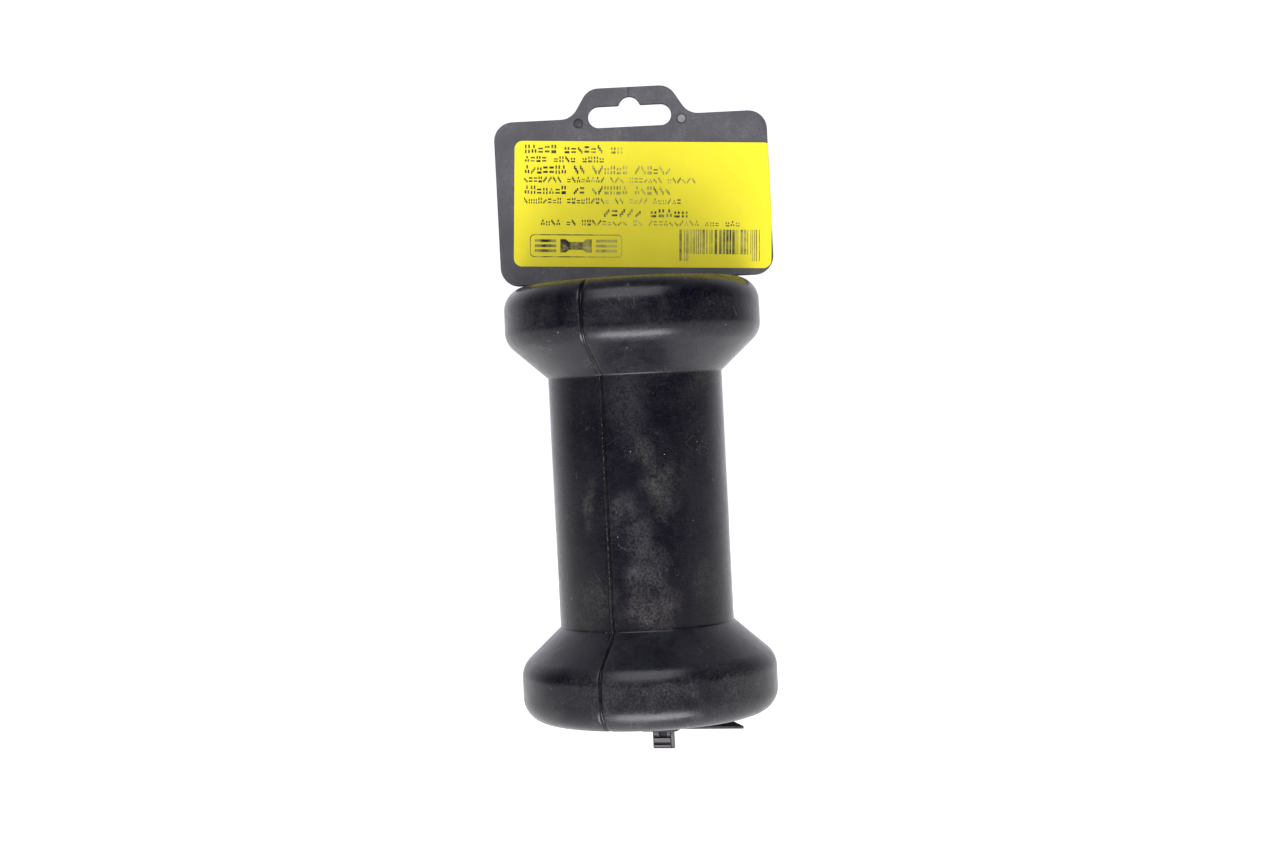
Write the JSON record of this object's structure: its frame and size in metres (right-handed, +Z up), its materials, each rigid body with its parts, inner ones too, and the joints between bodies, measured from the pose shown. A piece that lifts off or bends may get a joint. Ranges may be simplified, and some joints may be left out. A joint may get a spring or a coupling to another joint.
{
  "type": "rubber spool roller on a hang card",
  "caption": "Solid rubber spool roller with a straight waist and wide flanged ends, held on a plastic hang card by a toothed strap through its bore and a crossbar retainer.",
  "frame": {"origin": "top of the hang slot's centre notch, at the card's mid thickness, where a display peg carries the hanger", "axes": "+Z up along the roller's axis, -Y out of the card's printed face, +X to the right across the card seen from its front"},
  "size_m": [0.0799, 0.0748, 0.1941],
  "materials": {
    "rubber": "moulded black rubber, semi-matt, lightly dusty",
    "hanger_plastic": "satin black injection-moulded plastic",
    "retainer_plastic": "satin black injection-moulded plastic",
    "label": "yellow printed adhesive label"
  },
  "bodies": {
    "hanger": {"hanger_card": "hanger_plastic", "product_label": "label"},
    "roller": {"rubber_roller": "rubber"},
    "retainer": {"retainer_bar": "retainer_plastic"},
    "pawl": {"retainer_pawl": "retainer_plastic"}
  },
  "joints": [
    {"name": "roller_spin", "type": "hinge", "parent": "hanger", "child": "roller", "pos_m": [-0.0023, 0, -0.1176], "axis": [0, 0, 1], "continuous": true},
    {"name": "retainer_tighten", "type": "slide", "parent": "hanger", "child": "retainer", "axis": [0, 0, 1], "range_m": [0, 0.0026]},
    {"name": "pawl_flex", "type": "hinge", "parent": "retainer", "child": "pawl", "pos_m": [-0.00034, -0.00399, -0.1843], "axis": [-0.9613, 0.2756, 0], "range_deg": [0, 18], "stiffness_Nm_per_rad": 0.004}
  ]
}
